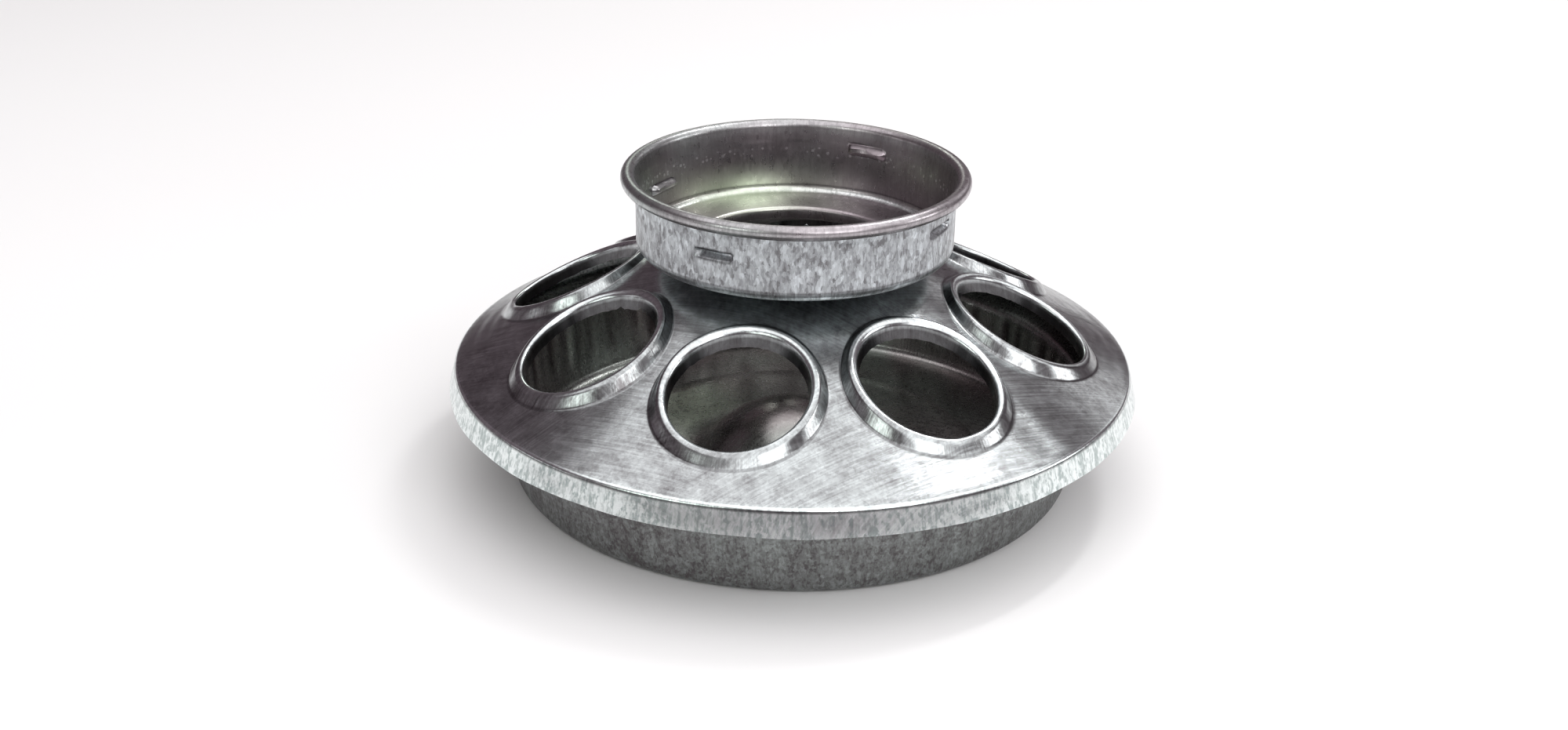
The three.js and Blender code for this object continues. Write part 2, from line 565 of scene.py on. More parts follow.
def turn_streaks_group() -> bpy.types.NodeTree:
    """Streaks on a turned surface: noise on (cos, sin) of the angle, radius and height.

    The unit circle is scaled by Round, the distance from the axis by Out and the
    height by Up, so a large Round with small Out and Up gives streaks up the wall,
    and a small Round with large Out gives rings.

    Returns:
        The group, whose output Value is noise of about 0..1.
    """
    group, graph, given, result = new_group(
        "turn_streaks", {"Round": 100.0, "Out": 0.1, "Up": 0.1, "Detail": 3.0}, ["Value"])
    place = graph.place()
    parts = graph.node("ShaderNodeSeparateXYZ", {0: place}).outputs
    flat = graph.node("ShaderNodeCombineXYZ", {0: parts[0], 1: parts[1], 2: 0.0}).outputs[0]
    unit = graph.vector("NORMALIZE", flat)
    spread = graph.scaled(unit, given.outputs["Round"])
    radius = graph.node("ShaderNodeVectorMath", {0: flat}, operation="LENGTH").outputs["Value"]
    out = graph.math("MULTIPLY", radius, given.outputs["Out"])
    up = graph.math("MULTIPLY", parts[2], given.outputs["Up"])
    lift = graph.node("ShaderNodeCombineXYZ", {
        0: 0.0, 1: 0.0, 2: graph.math("ADD", out, up)}).outputs[0]
    vector = graph.vector("ADD", spread, lift)
    noise = graph.noise(vector, 1.0, given.outputs["Detail"], 0.55)
    graph.tree.links.new(noise, result.inputs["Value"])
    return group


def spangle_group() -> bpy.types.NodeTree:
    """Zinc crystals: random values on distorted cells, flattened or drawn out upwards.

    Returns:
        The group. Crystal is one random value for each cell, and Mottle is noise.
    """
    group, graph, given, result = new_group(
        "zinc_spangle", {"Scale": 600.0, "Stretch": 0.5}, ["Crystal", "Mottle"])
    place = graph.place()
    shape = graph.node("ShaderNodeCombineXYZ", {0: 1.0, 1: 1.0, 2: given.outputs["Stretch"]})
    drawn = graph.vector("MULTIPLY", place, shape.outputs[0])
    scaled = graph.scaled(drawn, given.outputs["Scale"])
    wander = graph.node("ShaderNodeTexNoise", {"Vector": scaled, "Scale": 1.3, "Detail": 2.0})
    jagged = graph.scaled(
        graph.vector("SUBTRACT", wander.outputs["Color"], (0.5, 0.5, 0.5)), 1.1)
    cells = graph.node("ShaderNodeTexVoronoi", {
        "Vector": graph.vector("ADD", scaled, jagged), "Scale": 1.0})
    crystal = graph.node("ShaderNodeSeparateColor", {0: cells.outputs["Color"]}).outputs[0]
    mottle = graph.noise(scaled, 0.45, 4.0, 0.6)
    graph.tree.links.new(crystal, result.inputs["Crystal"])
    graph.tree.links.new(mottle, result.inputs["Mottle"])
    return group


def brush_group() -> bpy.types.NodeTree:
    """Fine scratches in one direction: noise squeezed across a turned Object vector.

    Returns:
        The group, whose output Value is noise of about 0..1.
    """
    group, graph, given, result = new_group(
        "brush_marks", {"Turn": 0.0, "Across": 2500.0, "Along": 120.0}, ["Value"])
    place = graph.place()
    turned_place = graph.node("ShaderNodeVectorRotate", {
        "Vector": place, "Angle": given.outputs["Turn"]}, rotation_type="Z_AXIS")
    squeeze = graph.node("ShaderNodeCombineXYZ", {
        0: given.outputs["Along"], 1: given.outputs["Across"], 2: given.outputs["Along"]})
    vector = graph.vector("MULTIPLY", turned_place.outputs[0], squeeze.outputs[0])
    graph.tree.links.new(graph.noise(vector, 1.0, 3.0, 0.6), result.inputs["Value"])
    return group


@dataclass(frozen=True)
class Zinc:
    """A zinc finish on drawn steel sheet.

    Attributes:
        name: Name of the material.
        light: Colour of the bright crystals.
        dark: Colour of the dull crystals.
        roughness: Roughness of the smoothest metal.
        spangle_scale: Crystals in a metre.
        stretch: How much the crystals are drawn out upwards; smaller is longer.
        spangle: Strength of the crystal pattern on the outer face.
        brush: Strength of the fine scratches.
        streak: Strength of the streaks up the wall.
        inner_spangle: Strength of the crystal pattern on the inner face.
        inner_tone: How much lighter the inner face is.
        tone: Tone of the plain metal, from 0 for dark to 1 for light.
        stain: Strength of the brown and green stain on the outer face.
        inner_stain: Strength of the stain on the inner face.
        inner_roughness: Roughness of the smoothest metal on the inner face.
        blotch: Strength of the cloudy blotches, a few millimetres across.
    """

    name: str
    light: Colour
    dark: Colour
    roughness: float
    spangle_scale: float
    stretch: float
    spangle: float
    brush: float
    streak: float
    inner_spangle: float
    inner_tone: float
    tone: float = 0.5
    stain: float = 0.3
    inner_stain: float = 0.6
    inner_roughness: float = 0.30
    blotch: float = 0.3

    def dressed(self, graph: Graph, tone: Socket, inside: Socket) -> Socket:
        """The tone with any marks of this finish alone; plain zinc has none."""
        return tone

    def material(self, groups: Groups) -> bpy.types.Material:
        """Builds the material.

        Args:
            groups: The shared node groups by name.

        Returns:
            The new material.
        """
        material = bpy.data.materials.new(self.name)
        material.use_nodes = True
        material.node_tree.nodes.clear()
        graph = Graph(material.node_tree)

        def placed(group: str, **values: float) -> bpy.types.Node:
            """Adds a shared group with its own values.

            Args:
                group: Name of the group.
                **values: Its inputs.

            Returns:
                The group's node.
            """
            return graph.node("ShaderNodeGroup", values, node_tree=groups[group])

        coarse = placed("zinc_spangle", Scale=self.spangle_scale, Stretch=self.stretch)
        fine = placed("zinc_spangle", Scale=self.spangle_scale * FINE_SCALE,
                      Stretch=self.stretch * FINE_STRETCH)
        streaks = placed("turn_streaks", Round=90.0, Out=60.0, Up=50.0).outputs["Value"]
        rings = placed("turn_streaks", Round=6.0, Out=2600.0, Up=2600.0).outputs["Value"]
        swirl = placed("brush_marks", Turn=-0.75, Across=2300.0, Along=70.0).outputs["Value"]
        cross = placed("brush_marks", Turn=0.20, Across=2000.0, Along=60.0).outputs["Value"]
        place = graph.place()
        cloud = graph.noise(place, 38.0, 3.0)
        share = graph.ramp(graph.noise(place, 16.0, 1.0), 0.42, 0.58)

        inside = graph.attribute("inside")
        spangle = graph.math("MULTIPLY_ADD", inside, self.inner_spangle - self.spangle,
                             self.spangle)
        crystal = graph.math("ADD", graph.math("MULTIPLY", coarse.outputs["Crystal"], 0.5),
                             graph.math("MULTIPLY", fine.outputs["Crystal"], 0.5))
        patches = graph.math("ADD", graph.math("SUBTRACT", crystal, 0.5),
                             graph.math("SUBTRACT", coarse.outputs["Mottle"], 0.5))
        tone = graph.math("MULTIPLY_ADD", patches, spangle, self.tone)
        tone = graph.math("MULTIPLY_ADD", graph.math("SUBTRACT", streaks, 0.5),
                          self.streak, tone)
        tone = graph.math("MULTIPLY_ADD", graph.math("SUBTRACT", cloud, 0.5), CLOUD, tone)
        tone = graph.math("MULTIPLY_ADD", inside, self.inner_tone, tone)
        marks = graph.math("ADD", graph.math("MULTIPLY", swirl, share),
                           graph.math("MULTIPLY", cross, graph.math("SUBTRACT", 1.0, share)))
        tone = graph.math("MULTIPLY_ADD", graph.math("SUBTRACT", marks, 0.5),
                          self.brush, tone)
        tone = graph.math("MULTIPLY_ADD", graph.math("SUBTRACT", rings, 0.5),
                          RING * self.brush, tone)
        blotches = graph.noise(place, 170.0, 4.0, 0.6)
        tone = graph.math("MULTIPLY_ADD", graph.math("SUBTRACT", blotches, 0.5),
                          self.blotch, tone)
        tone = self.dressed(graph, tone, inside)
        tone = graph.node("ShaderNodeClamp", {0: tone}).outputs[0]
        colour = graph.mix(tone, (*self.dark, 1.0), (*self.light, 1.0))
        stain = graph.mix(graph.ramp(graph.noise(place, 24.0, 2.0), 0.40, 0.60),
                          (*BROWN, 1.0), (*GREEN, 1.0))
        amount = graph.math("MULTIPLY_ADD", inside, self.inner_stain - self.stain, self.stain)
        colour = graph.mix(amount, colour, stain, blend="MULTIPLY")
        # Painted sheen: where bright is set, the colour is lifted to light metal that stands in
        # for reflected light and highlights, with the zinc's flakes in it.
        bright = graph.attribute("bright")
        shade = graph.attribute("shade")
        flake = graph.math("ADD", crystal, graph.math("MULTIPLY_ADD", streaks, 1.6, -0.8))
        flake = graph.math("ADD", flake, graph.math(
            "MULTIPLY_ADD", coarse.outputs["Mottle"], 0.8, -0.4))
        sheen = graph.mix(graph.ramp(flake, 0.08, 0.80), (*SHEEN_DARK, 1.0), (*SHEEN_LIGHT, 1.0))
        colour = graph.mix(bright, colour, sheen)
        # Painted light: a greenish patch of light on the inner faces.
        painted_light = graph.attribute("painted_light")
        colour = graph.mix(graph.math("MULTIPLY", painted_light, inside), colour, (*PAINTED_LIGHT, 1.0))
        # Painted shade: where shade is set, the colour is darkened.
        colour = graph.mix(shade, colour, (*SHADE, 1.0))
        rough = graph.math("MULTIPLY_ADD", inside, self.inner_roughness - self.roughness,
                           self.roughness)
        rough = graph.math("MULTIPLY_ADD", graph.math("SUBTRACT", 1.0, crystal),
                           CRYSTAL_ROUGH * self.spangle, rough)
        rough = graph.math("MULTIPLY_ADD", marks, MARK_ROUGH * self.brush, rough)
        height = graph.math(
            "ADD", graph.math("MULTIPLY", crystal, CRYSTAL_HEIGHT * self.spangle),
            graph.math("MULTIPLY", marks, self.brush))
        height = graph.math("MULTIPLY_ADD", streaks, self.streak, height)
        bump = graph.node("ShaderNodeBump", {
            "Strength": BUMP_STRENGTH, "Distance": BUMP_DISTANCE, "Height": height})
        shader = graph.node("ShaderNodeBsdfPrincipled", {
            "Base Color": colour, "Metallic": 1.0, "Roughness": rough,
            "Normal": bump.outputs[0]})
        output = graph.node("ShaderNodeOutputMaterial")
        material.node_tree.links.new(shader.outputs[0], output.inputs[0])
        return material


@dataclass(frozen=True)
class RimmedZinc(Zinc):
    """Zinc with streaks down the flanks of the hole rims, where the punch rubbed it.

    Attributes:
        rubbed: Strength of the streaks.
        crest_highlight: Strength of the painted highlight on a crest and along the crease.
    """

    rubbed: float = 0.8
    crest_highlight: float = 0.45

    def dressed(self, graph: Graph, tone: Socket, inside: Socket) -> Socket:
        """Adds noise on the turn about each hole, on its rim, and a painted highlight on each
        crest.

        Args:
            graph: The material's graph.
            tone: Tone of the plain metal.
            inside: Not used.

        Returns:
            The tone with these marks.
        """
        rim = graph.attribute("rim")
        turn_x = graph.attribute("rim_x")
        turn_y = graph.attribute("rim_y")
        way = graph.node("ShaderNodeCombineXYZ", {0: turn_x, 1: turn_y, 2: 0.0}).outputs[0]
        fine = graph.noise(way, 46.0, 3.0, 0.7)
        broad = graph.noise(way, 2.6, 2.0)
        both = graph.math("ADD", fine, graph.math("MULTIPLY", broad, 1.2))
        both = graph.math("SUBTRACT", both, 1.1)
        # Painted highlight: edge lightens the crests and the crease.
        edge = graph.attribute("edge")
        tone = graph.math("MULTIPLY_ADD", edge, self.crest_highlight, tone)
        return graph.math("MULTIPLY_ADD", both, graph.math("MULTIPLY", rim, self.rubbed), tone)


@dataclass(frozen=True)
class PuckeredZinc(Zinc):
    """Zinc with painted light on its wrinkles' ridges and painted shade in their valleys.

    Attributes:
        wrinkle: Strength of the painted light and shade on the wrinkles, both faces together.
        inner_share: Share of it on the inner face.
    """

    wrinkle: float = 0.65
    inner_share: float = 0.92

    def dressed(self, graph: Graph, tone: Socket, inside: Socket) -> Socket:
        """Adds painted light and shade from the wrinkles' height on the inner face, and a little
        of it outside.

        Args:
            graph: The material's graph.
            tone: Tone of the plain metal.
            inside: 1 on the inner face and 0 on the outer one.

        Returns:
            The tone with these marks.
        """
        wave = graph.attribute("wave")
        amount = graph.math("MULTIPLY_ADD", inside, self.wrinkle * self.inner_share,
                            self.wrinkle * (1.0 - self.inner_share))
        return graph.math("MULTIPLY_ADD", wave, amount, tone)


@dataclass(frozen=True)
class SpeckledZinc(Zinc):
    """Zinc with a row of small bright specks on the inner wall.

    Attributes:
        specks: Strength of the specks.
        speck_height: Height of the row, in metres.
        speck_reach: How far it reaches above and below, in metres.
    """

    specks: float = 1.4
    speck_height: float = 0.0640
    speck_reach: float = 0.0016

    def dressed(self, graph: Graph, tone: Socket, inside: Socket) -> Socket:
        """Adds the middles of small random cells in a band of heights.

        Args:
            graph: The material's graph.
            tone: Tone of the plain metal.
            inside: 1 on the inner face and 0 on the outer one.

        Returns:
            The tone with these marks.
        """
        place = graph.place()
        height = graph.node("ShaderNodeSeparateXYZ", {0: place}).outputs[2]
        off = graph.math("ABSOLUTE", graph.math("SUBTRACT", height, self.speck_height))
        band = graph.ramp(off, 0.0002, self.speck_reach, 1.0, 0.0)
        cells = graph.node("ShaderNodeTexVoronoi", {"Vector": place, "Scale": 900.0})
        dots = graph.ramp(cells.outputs["Distance"], 0.18, 0.42, 1.0, 0.0)
        chosen = graph.ramp(graph.node("ShaderNodeSeparateColor", {
            0: cells.outputs["Color"]}).outputs[1], 0.55, 0.60)
        amount = graph.math("MULTIPLY", graph.math("MULTIPLY", dots, chosen),
                            graph.math("MULTIPLY", band, inside))
        return graph.math("MULTIPLY_ADD", amount, self.specks, tone)


# ---- Base pan ------------------------------------------------------------------


@dataclass
class BasePan:
    """The drawn pan: domed middle, stepped floor, wall, flange and rolled edge."""

    finish: Zinc
    dome_radius: float = 21.8
    dome_top: float = 13.75
    dome_gap: float = 1.5
    plateau: float = 1.2
    step_radius: float = 44.2
    step_width: float = 1.4
    wall_foot: float = 65.5
    wall_head: float = 66.8
    corner: float = 3.2
    cove: float = 2.4
    flange_slope: float = math.radians(20.0)
    bead_radius: float = 1.4
    bead_ring: float = 75.9
    bead_height: float = 25.35
    rolled_from: float = 74.5
    pucker_broad: float = 0.14
    pucker_narrow: float = 0.20
    pucker_full: float = 12.0
    pucker_fade: tuple[float, float] = (17.0, 21.0)
    # a painted pool of light on the floor, as if lit through a hole in the cover
    painted_light: float = 0.8
    painted_light_band: tuple[float, ...] = (22.0, 27.0, 38.0, 46.0)
    painted_light_angle: float = math.radians(150.0)
    painted_light_reach: float = 0.32
    columns: int = 640

    def line(self) -> np.ndarray:
        """Underside of the pan from the middle out, then round the rolled edge.

        The dome is a parabola: its height falls with the square of the radius.

        Returns:
            Array of (points, 2): radius and height.
        """
        height = self.dome_top - SHEET - self.plateau
        share = np.linspace(0.0, 0.95, 10)
        dome = np.column_stack((share * self.dome_radius,
                                self.plateau + height * (1.0 - share ** 2)))
        wall_turn = math.atan2(self.wall_head - self.wall_foot, self.bead_height - self.corner)
        bead = arc((self.bead_ring, self.bead_height), self.bead_radius,
                   self.flange_slope - QUARTER, math.pi * 1.1, 12)
        start = self.wall_head + self.cove * (1.0 - math.sin(self.flange_slope))
        rise = bead[0, 1] - (bead[0, 0] - start) * math.tan(self.flange_slope)
        cove = arc((self.wall_head + self.cove, rise - self.cove * math.cos(self.flange_slope)),
                   self.cove, math.pi - wall_turn, QUARTER + self.flange_slope, 6)
        corner = arc((self.wall_foot - self.corner, self.corner), self.corner,
                     -QUARTER, -wall_turn, 7)
        foot_out = self.step_radius + self.step_width
        return np.vstack((
            dome,
            straight((self.dome_radius + self.dome_gap, self.plateau),
                     (self.step_radius, self.plateau), 5),
            straight((self.step_radius, self.plateau), (foot_out, 0.0), 3),
            straight((foot_out, 0.0), tuple(corner[0]), 4),
            corner[:-1],
            straight(tuple(corner[-1]), tuple(cove[0]), 14),
            cove[:-1],
            straight(tuple(cove[-1]), tuple(bead[0]), 4),
            bead,
        ))

    def sheet(self) -> OpenSheet:
        """The underside as a grid: the line turned about the axis, its wall puckered.

        The wall is pushed in and out by two random waves, of 18 to 46 and of 50 to
        104 lobes a turn, which grow from nothing at the floor and fade at the flange.

        Returns:
            The sheet with the masks bright, shade, wave and glow.
        """
        line = self.line()
        angle = even_turn(self.columns)
        radius, height = turned(line, angle)
        grow = smooth_step(self.corner, self.pucker_full, height)
        grow = grow * (1.0 - smooth_step(*self.pucker_fade, height))
        grow = grow * (radius > self.wall_foot - 4.0)
        broad = Ripple(18, 46, seed=7).at(angle)[None, :]
        narrow = Ripple(50, 104, seed=8).at(angle)[None, :]
        wave = grow * (self.pucker_broad * broad + self.pucker_narrow * narrow)
        radius = radius + wave
        points = cylindrical(radius, np.broadcast_to(angle, radius.shape), height)
        rolled = np.broadcast_to((line[:, :1] > self.rolled_from), radius.shape).astype(float)
        # Painted light: a pool of light on the floor behind the dome.
        start, full, fade, end = self.painted_light_band
        on_floor = smooth_step(start, full, radius) * (1.0 - smooth_step(fade, end, radius))
        painted_light = self.painted_light * on_floor * near_angle(angle[None, :], self.painted_light_angle,
                                                 self.painted_light_reach)
        quads = grid_quads(len(line), self.columns, closed=True, flipped=True)
        # wave paints light on the ridges of the wrinkles' inner face and shade in their valleys.
        return OpenSheet(points, quads, {
            "bright": 0.6 * rolled.reshape(-1), "shade": np.zeros(radius.size),
            "wave": -4.0 * wave.reshape(-1), "painted_light": painted_light.reshape(-1)})

    def build(self, groups: Groups) -> bpy.types.Object:
        """Makes, dresses and places the pan.

        Args:
            groups: The shared node groups by name.

        Returns:
            The piece.
        """
        piece = solid_from_sheet("base_pan_sheet", self.sheet())
        piece.data.materials.append(self.finish.material(groups))
        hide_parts("base_pan")
        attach(piece, Body.PAN.value)
        return piece


# ---- Feeder cover --------------------------------------------------------------


@dataclass
class RimRows:
    """Rows of a rim's section, from the torn edge outwards, and the masks on them.

    Attributes:
        radii: Distances from the hole's middle, one array for each row of the rim.
        heights: Heights above the hole's plane, one array for each row of the rim.
        masks: Values of each mask, one number for each row.
    """

    radii: list[np.ndarray]
    heights: list[np.ndarray]
    masks: dict[str, list[float]]

    def mark(self, bright: float = 0.0, rim: float = 0.0, shade: float = 0.0,
             edge: float = 0.0) -> None:
        """Adds the masks of one row.

        Args:
            bright: Share of painted sheen, lighter metal that stands in for reflected light.
            rim: Strength of the streaks.
            shade: Share of painted shade.
            edge: Share of painted highlight.
        """
        for name, value in (("bright", bright), ("rim", rim), ("shade", shade), ("edge", edge)):
            self.masks[name].append(value)

    def add(self, radius: np.ndarray, height: np.ndarray, **masks: float) -> None:
        """Adds one row of the rim.

        Args:
            radius: Distances from the hole's middle.
            height: Heights above the hole's plane.
            **masks: The row's masks; those left out are 0.
        """
        self.radii.append(radius)
        self.heights.append(height)
        self.mark(**masks)


@dataclass
class FeederCover:
    """The cover: a cone with eight rimmed holes, a crease and a skirt."""

    finish: Zinc
    skirt_foot: float = 21.3
    crease_radius: float = 77.7
    crease_height: float = 27.0
    slope: float = math.radians(25.4)
    opening: float = 24.5
    hole_ring: float = 52.3
    rim_base: float = 18.5
    rim_crest: float = 16.15
    rim_height: float = 1.75
    rim_round: float = 1.15
    throat: float = 14.6
    throat_depth: float = 1.75
    stretch: float = 1.065
    fillet: float = 0.45
    crease_round: float = 0.55
    ringed: tuple[float, ...] = (math.radians(22.0), math.radians(-163.0))
    folded: float = math.radians(-42.0)
    slow_swell: float = 0.10
    ring_pitch: float = 3.1
    ring_swell: float = 0.055
    ring_reach: float = 0.22
    ring_band: tuple[float, ...] = (60.0, 69.0, 75.0, 77.0)
    fold_swell: float = 0.105
    fold_reach: float = 0.24
    fold_band: tuple[float, ...] = (58.0, 70.0, 75.5, 77.0)
    ridge_radius: float = 76.3
    ridge_width: float = 0.45
    ridge_swell: float = 0.05
    ragged: float = 0.07
    split_width: tuple[float, float] = (0.05, 0.07)
    split_depth: tuple[float, float] = (0.3, 0.9)
    skirt_wave: float = 0.09
    foot_wave: float = 0.10
    foot_inset: float = 0.12
    side_steps: int = 26

    def cone_height(self, radius: np.ndarray) -> np.ndarray:
        """Height of the cone's outer face at a distance from the axis."""
        return self.crease_height + (self.crease_radius - radius) * math.tan(self.slope)

    def swell(self, radius: np.ndarray, angle: np.ndarray) -> np.ndarray:
        """How far the pressed cone stands off a true cone, in millimetres.

        A slow random wave round the axis, faded in from the opening, plus rings near
        the crease at the drawn places, folds across it at the folded place, and a low
        ridge beside the crease.

        Args:
            radius: Distances from the axis.
            angle: Angles round it, of the same shape.

        Returns:
            Array of the same shape.
        """
        slow = self.slow_swell * Ripple(2, 9, seed=3).at(angle) * np.sin(
            (radius - self.opening) / (self.crease_radius - self.opening) * math.pi)
        rings = np.sin(radius * 2.0 * math.pi / self.ring_pitch
                       + 0.8 * Ripple(1, 4, seed=11).at(angle))
        start, full, fade, end = self.ring_band
        near = smooth_step(start, full, radius) * (1.0 - smooth_step(fade, end, radius))
        drawn = sum(near_angle(angle, middle, self.ring_reach) for middle in self.ringed)
        folds = Ripple(16, 58, seed=12).at(angle) * near_angle(angle, self.folded,
                                                               self.fold_reach)
        start, full, fade, end = self.fold_band
        folds = folds * smooth_step(start, full, radius) * (1.0 - smooth_step(fade, end, radius))
        ridge = np.exp(-((radius - self.ridge_radius) / self.ridge_width) ** 2)
        return (slow + self.ring_swell * rings * near * drawn + self.fold_swell * folds
                + self.ridge_swell * ridge)

    def on_cone(self, radius: np.ndarray, angle: np.ndarray) -> np.ndarray:
        """Points on the cone's outer face, moved out along its normal by the swell.

        Args:
            radius: Distances from the axis on a true cone.
            angle: Angles round it, of the same shape.

        Returns:
            Array of (n, 3).
        """
        lift = self.swell(radius, angle)
        height = self.cone_height(radius) + lift * math.cos(self.slope)
        return cylindrical(radius + lift * math.sin(self.slope), angle, height)

    def above(self, radius: np.ndarray, turn: np.ndarray) -> tuple[
            np.ndarray, np.ndarray, np.ndarray]:
        """The cone point straight above or below a point of a hole's own plane.

        The plane touches the cone at the hole's middle. A point at (radius, turn)
        about the hole lies stretch * radius * cos turn down the slope and
        radius * sin turn across it.

        Args:
            radius: Distance from the hole's middle, across the slope.
            turn: Angle about the hole, from the downhill direction.

        Returns:
            Radius and angle of the cone point round the object's axis, and how far
            it stands above the plane.
        """
        along = self.hole_ring + self.stretch * radius * np.cos(turn) * math.cos(self.slope)
        across = radius * np.sin(turn)
        far = np.hypot(along, across)
        return far, np.arctan2(across, along), (along - far) * math.tan(self.slope)

    def hole_points(self, radius: np.ndarray, turn: np.ndarray, lift: np.ndarray,
                    hole_angle: float) -> np.ndarray:
        """Points given about a hole's middle, with upright heights.

        Args:
            radius: Distance from the hole's middle, across the slope.
            turn: Angle about the hole, from the downhill direction.
            lift: Height straight above the plane that touches the cone at the middle.
            hole_angle: The hole's angle round the object's axis.

        Returns:
            Array of (n, 3).
        """
        down = self.stretch * radius * np.cos(turn)
        out = self.hole_ring + down * math.cos(self.slope)
        up = self.cone_height(np.float64(self.hole_ring)) - down * math.sin(self.slope) + lift
        across = radius * np.sin(turn)
        spin = np.array([[math.cos(hole_angle), math.sin(hole_angle), 0.0],
                         [-math.sin(hole_angle), math.cos(hole_angle), 0.0], [0.0, 0.0, 1.0]])
        return np.stack((out, across, up), axis=-1).reshape(-1, 3) @ spin

    def tangent(self, radius: float, height: np.ndarray, side: float) -> np.ndarray:
        """Where the line from a point of a rim's section touches the crest's circle.

        Args:
            radius: The point's distance from the hole's middle.
            height: The point's height.
            side: 1.0 for the flank, -1.0 for the turned-in flange.

        Returns:
            Angle round the crest's circle: the direction of the point, turned back by
            the arc cosine of the circle's radius over the distance.
        """
        away = radius - self.rim_crest
        rise = height - (self.rim_height - self.rim_round)
        turn_back = np.arccos(self.rim_round / np.hypot(away, rise))
        return np.arctan2(rise, away) + side * turn_back

    def sector_edge(self) -> tuple[np.ndarray, np.ndarray, np.ndarray]:
        """Outline of one eighth of the cone, anticlockwise from its lower right corner.

        Returns:
            Radius and angle of each outline point, and the matching angle about the
            hole: even steps between the angles at which the corners are seen.
        """
        outer, inner = self.crease_radius - self.crease_round, self.opening
        half = math.pi / HOLE_COUNT
        corners = [(outer, -half), (outer, half), (inner, half), (inner, -half)]
        seen = []
        for radius, angle in corners:
            down = (radius * math.cos(angle) - self.hole_ring) / math.cos(self.slope)
            seen.append(math.atan2(radius * math.sin(angle), down / self.stretch))
        seen[3] += 2.0 * math.pi
        seen.append(seen[0] + 2.0 * math.pi)
        share = np.linspace(0.0, 1.0, self.side_steps, endpoint=False)
        radii, angles, turns = [], [], []
        for i in range(4):
            (r0, a0), (r1, a1) = corners[i], corners[(i + 1) % 4]
            radii.append(r0 + (r1 - r0) * share)
            angles.append(a0 + (a1 - a0) * share)
            turns.append(seen[i] + (seen[i + 1] - seen[i]) * share)
        return np.concatenate(radii), np.concatenate(angles), np.concatenate(turns)

    def torn_edge(self, turn: np.ndarray, seed: int) -> np.ndarray:
        """How far the flange's raw edge is short of its full depth, in millimetres.

        A ragged wave, plus one to three narrow splits where the sheet tore.

        Args:
            turn: Angles about the hole.
            seed: Seed of the wave and of the splits.

        Returns:
            Array of the same shape as turn.
        """
        random = np.random.default_rng(seed)
        short = self.ragged * Ripple(14, 48, seed=seed).at(turn)
        for _ in range(random.integers(1, 4)):
            centre = random.uniform(0.0, 2.0 * math.pi)
            width = random.uniform(*self.split_width)
            away = np.abs((turn - centre + math.pi) % (2.0 * math.pi) - math.pi)
            depth = random.uniform(*self.split_depth)
            short = short + depth * np.clip(1.0 - away / width, 0.0, 1.0)
        return np.clip(short, -0.2, 1.6)

    def sector(self, number: int) -> OpenSheet:
        """One eighth of the cone with its hole.

        Rows run from the torn edge of the flange up its inside, over the crest, down
        the flank, through a fillet and out over the cone to the sector's outline.

        Args:
            number: Number of the hole, counted from the X axis.

        Returns:
            The sheet with the masks bright, rim, shade, edge, rim_x and rim_y.
        """
        hole_angle = number * 2.0 * math.pi / HOLE_COUNT
        edge_radius, edge_angle, turn = self.sector_edge()
        middle = self.rim_height - self.rim_round
        short = self.torn_edge(turn, seed=40 + number)
        base_radius, base_angle, base_rise = self.above(np.full_like(turn, self.rim_base), turn)
        out_r = self.rim_base + self.fillet
        out_radius, out_angle, out_rise = self.above(np.full_like(turn, out_r), turn)
        inner = self.tangent(self.throat, np.full_like(turn, -self.throat_depth), -1.0)
        inner = inner + 2.0 * math.pi
        outer = self.tangent(self.rim_base, base_rise, 1.0)

        def crest_at(angle: np.ndarray) -> tuple[np.ndarray, np.ndarray]:
            """Points on the crest's circle.

            Args:
                angle: Angles round the circle.

            Returns:
                Their radii and heights.
            """
            return (self.rim_crest + self.rim_round * np.cos(angle),
                    middle + self.rim_round * np.sin(angle))

        rows = RimRows([], [], {"bright": [], "rim": [], "shade": [], "edge": []})
        top_r, top_n = crest_at(inner)
        # Painted shade on the inside of the turned-in flange, which faces the dark hole.
        for share in np.linspace(0.0, 1.0, 8)[:-1]:
            rise = -self.throat_depth + short + (top_n + self.throat_depth - short) * share
            lean = (rise + self.throat_depth) / (top_n + self.throat_depth)
            rows.add(self.throat + (top_r - self.throat) * lean, rise, rim=0.6,
                     shade=0.78 if share < 0.75 else 0.35)
        # A painted highlight along the crest, strongest part way over it.
        for share in np.linspace(0.0, 1.0, 13):
            ring_r, ring_n = crest_at(inner + (outer - inner) * share)
            rows.add(ring_r, ring_n, rim=0.12, edge=max(0.0, 1.0 - 3.0 * abs(share - 0.38)))
        flank_r, flank_n = crest_at(outer)
        length = np.hypot(self.rim_base - flank_r, flank_n - base_rise)
        keep = 1.0 - self.fillet / length
        # A trace of painted sheen on the flank.
        for share in (0.2, 0.4, 0.6, 0.8, 1.0):
            rows.add(flank_r + (self.rim_base - flank_r) * keep * share,
                     flank_n + (base_rise - flank_n) * keep * share, bright=0.05, rim=1.0)
        begin_r, begin_n = rows.radii[-1], rows.heights[-1]
        # Painted shade in the fillet where the flank meets the cone.
        for share in (0.25, 0.5, 0.75):
            first, second, third = (1.0 - share) ** 2, 2.0 * share * (1.0 - share), share ** 2
            rows.add(first * begin_r + second * self.rim_base + third * out_r,
                     first * begin_n + second * base_rise + third * out_rise,
                     rim=1.0 - share, shade=0.4)
        lift = self.swell(base_radius, base_angle + hole_angle)
        near = [self.hole_points(r, turn, n + lift, hole_angle)
                for r, n in zip(rows.radii, rows.heights)]

